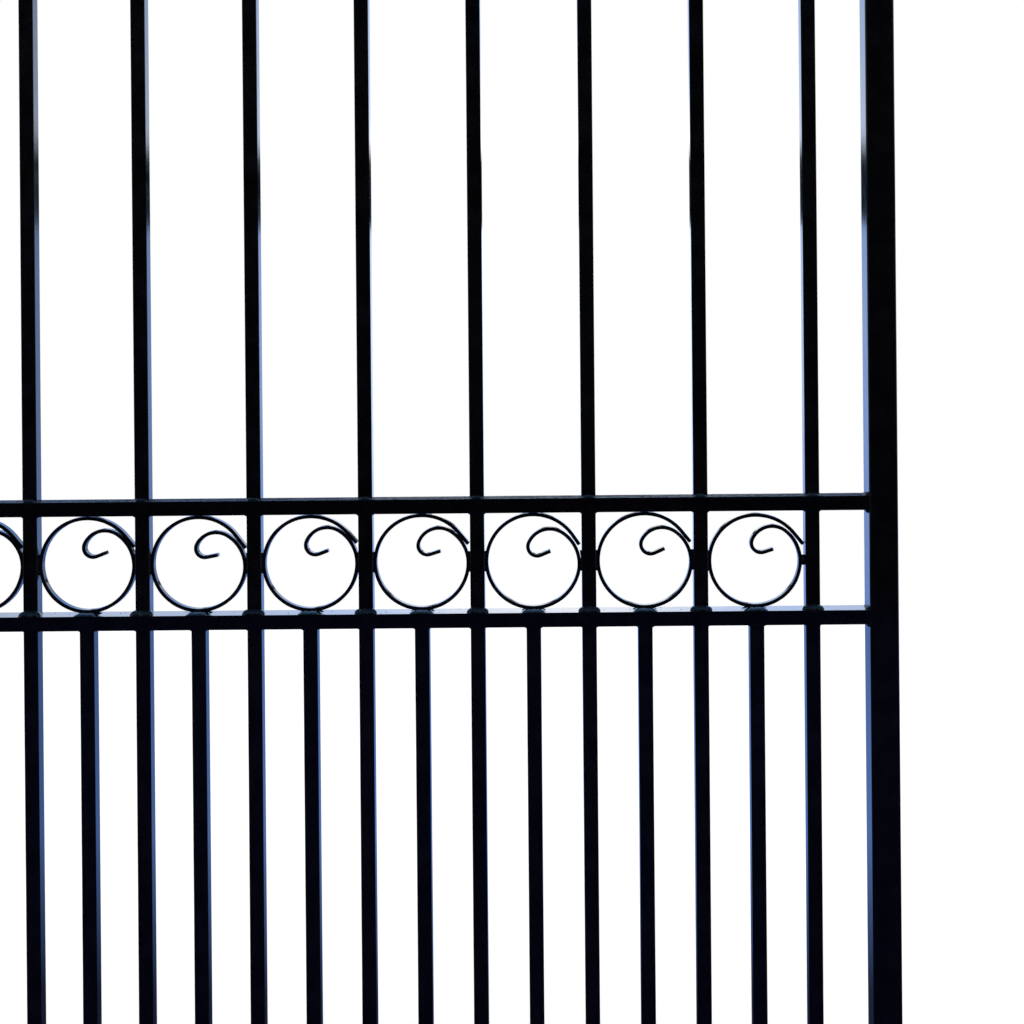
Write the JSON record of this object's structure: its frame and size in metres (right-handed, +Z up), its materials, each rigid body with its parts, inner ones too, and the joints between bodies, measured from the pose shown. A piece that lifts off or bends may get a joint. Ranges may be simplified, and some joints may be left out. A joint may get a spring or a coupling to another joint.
{
  "type": "leaf and hinge post of a double swing driveway gate",
  "caption": "Gate leaf of upright square bars with a pierced band of ring scrolls, on its hinge post; mirrored, it makes the pair.",
  "frame": {"origin": "centre of the hinge post's base plate, on its underside", "axes": "+X along the closed leaf to its free stile, -Y the front, +Y the side the leaf swings to, +Z up"},
  "size_m": [1.95, 0.2, 1.801],
  "materials": {
    "gloss_black_paint": "gloss",
    "post_paint": "gloss",
    "hinge_paint": "gloss"
  },
  "bodies": {
    "hinge_post": {"base_plate": "post_paint", "post_tube": "post_paint", "post_cap": "post_paint", "hinge_lower_post_half": "hinge_paint", "hinge_upper_post_half": "hinge_paint"},
    "leaf": {"hinge_stile": "gloss_black_paint", "free_stile": "gloss_black_paint", "top_rail": "gloss_black_paint", "bottom_rail": "gloss_black_paint", "band_upper_rail": "gloss_black_paint", "band_lower_rail": "gloss_black_paint", "hinge_lower_leaf_half": "hinge_paint", "hinge_upper_leaf_half": "hinge_paint", "bar_01": "gloss_black_paint", "bar_02": "gloss_black_paint", "bar_03": "gloss_black_paint", "bar_04": "gloss_black_paint", "bar_05": "gloss_black_paint", "bar_06": "gloss_black_paint", "bar_07": "gloss_black_paint", "bar_08": "gloss_black_paint", "bar_09": "gloss_black_paint", "bar_10": "gloss_black_paint", "bar_11": "gloss_black_paint", "dog_bar_01": "gloss_black_paint", "dog_bar_02": "gloss_black_paint", "dog_bar_03": "gloss_black_paint", "dog_bar_04": "gloss_black_paint", "dog_bar_05": "gloss_black_paint", "dog_bar_06": "gloss_black_paint", "dog_bar_07": "gloss_black_paint", "dog_bar_08": "gloss_black_paint", "dog_bar_09": "gloss_black_paint", "dog_bar_10": "gloss_black_paint", "ring_scrolls_hinge_half": "gloss_black_paint", "ring_scrolls_free_half": "gloss_black_paint"}
  },
  "joints": [
    {"name": "leaf_swing", "type": "hinge", "parent": "hinge_post", "child": "leaf", "pos_m": [0.0525, 0.052, 0], "axis": [0, 0, 1], "range_deg": [0, 100]}
  ]
}
